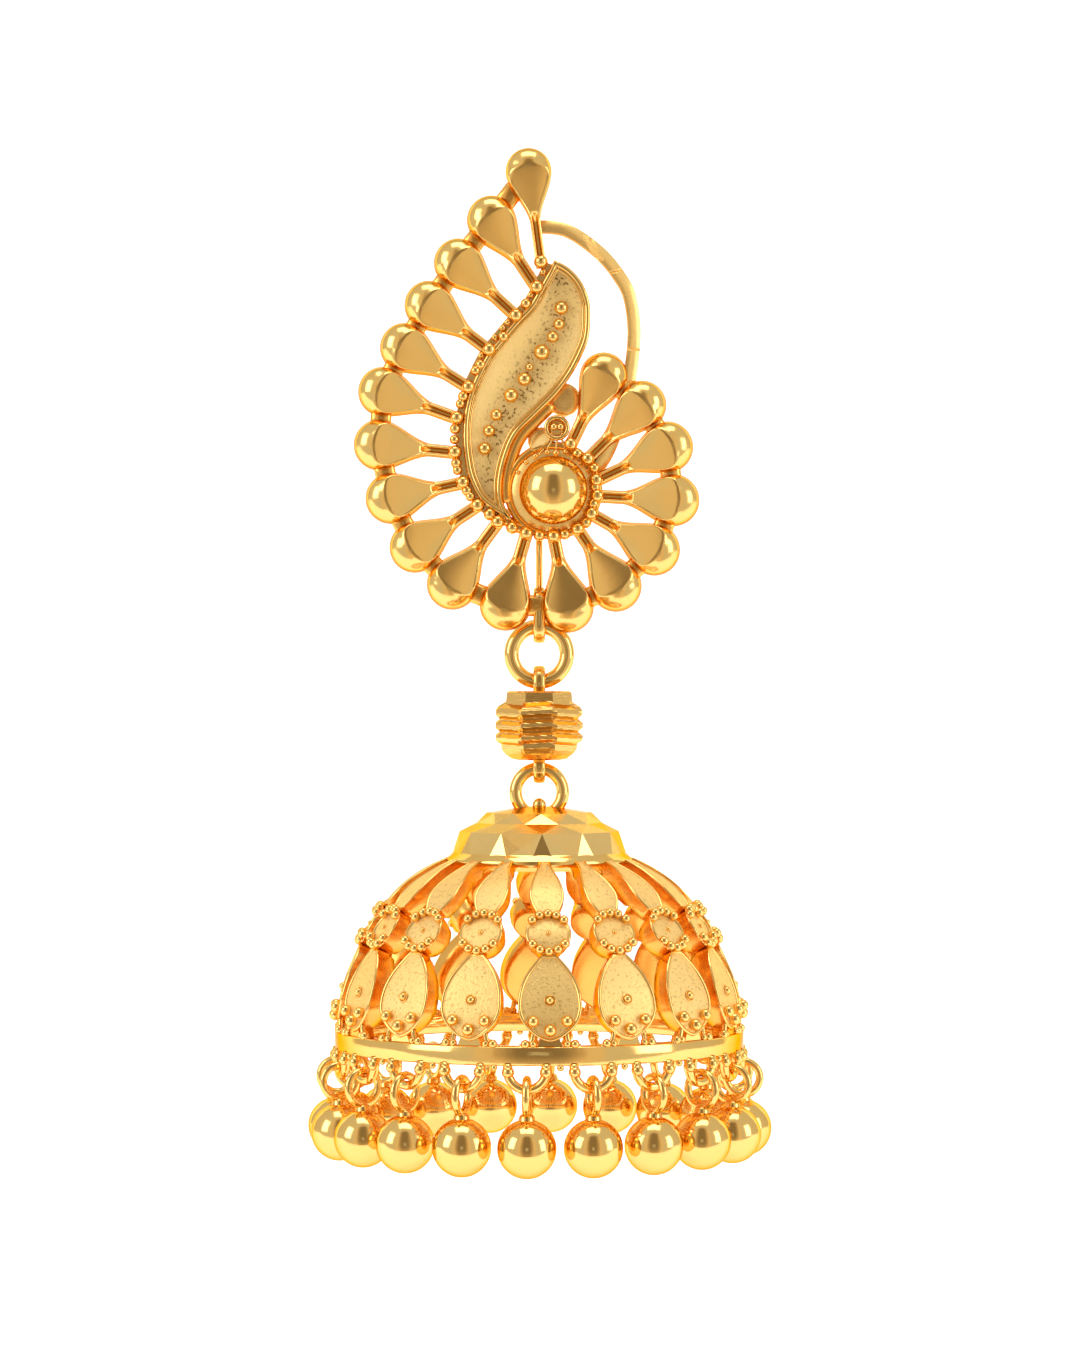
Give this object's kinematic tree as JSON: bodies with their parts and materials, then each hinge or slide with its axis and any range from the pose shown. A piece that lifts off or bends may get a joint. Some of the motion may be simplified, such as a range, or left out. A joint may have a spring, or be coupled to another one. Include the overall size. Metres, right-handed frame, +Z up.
{
  "type": "jhumka earring",
  "caption": "Gold bell earring: petalled stud with a curved tray and a ball, a jump ring, a faceted bead, and a hollow bell with ball drops under its rim.",
  "frame": {"origin": "root of the ear post, where its pad's back face meets the ear", "axes": "+Z up along the hanging line, +Y back along the ear post into the ear, -Y the decorated front, +X to the right seen from the front"},
  "size_m": [0.0277, 0.0276, 0.06],
  "materials": {
    "stud_gold": "bright cut facets with a fine blasted ground in the tray",
    "polished_gold": "high polish",
    "faceted_gold": "brushed facets with cut grooves",
    "bell_gold": "fine blasted faces between polished wires, satin faceted cap"
  },
  "bodies": {
    "stud": {"stud_ornament": "stud_gold", "centre_ball": "polished_gold", "ear_post": "polished_gold"},
    "ring": {"jump_ring": "polished_gold"},
    "bead": {"faceted_bead": "faceted_gold"},
    "bell": {"jhumka_dome": "bell_gold", "drop_01": "polished_gold", "drop_02": "polished_gold", "drop_03": "polished_gold", "drop_04": "polished_gold", "drop_05": "polished_gold", "drop_06": "polished_gold", "drop_07": "polished_gold", "drop_08": "polished_gold", "drop_09": "polished_gold", "drop_10": "polished_gold", "drop_11": "polished_gold", "drop_12": "polished_gold", "drop_13": "polished_gold", "drop_14": "polished_gold", "drop_15": "polished_gold", "drop_16": "polished_gold", "drop_17": "polished_gold", "drop_18": "polished_gold", "drop_19": "polished_gold", "drop_20": "polished_gold"}
  },
  "joints": [
    {"name": "ring_swing", "type": "hinge", "parent": "stud", "child": "ring", "pos_m": [-0.00147, 0.0002, -0.01425], "axis": [0, 1, 0], "range_deg": [-35, 35]},
    {"name": "bead_swing", "type": "hinge", "parent": "ring", "child": "bead", "pos_m": [-0.00147, 0.0002, -0.0168], "axis": [1, 0, 0], "range_deg": [-40, 40]},
    {"name": "bell_swing", "type": "hinge", "parent": "bead", "child": "bell", "pos_m": [-0.00147, 0.0002, -0.02265], "axis": [0, 1, 0], "range_deg": [-25, 25]}
  ]
}
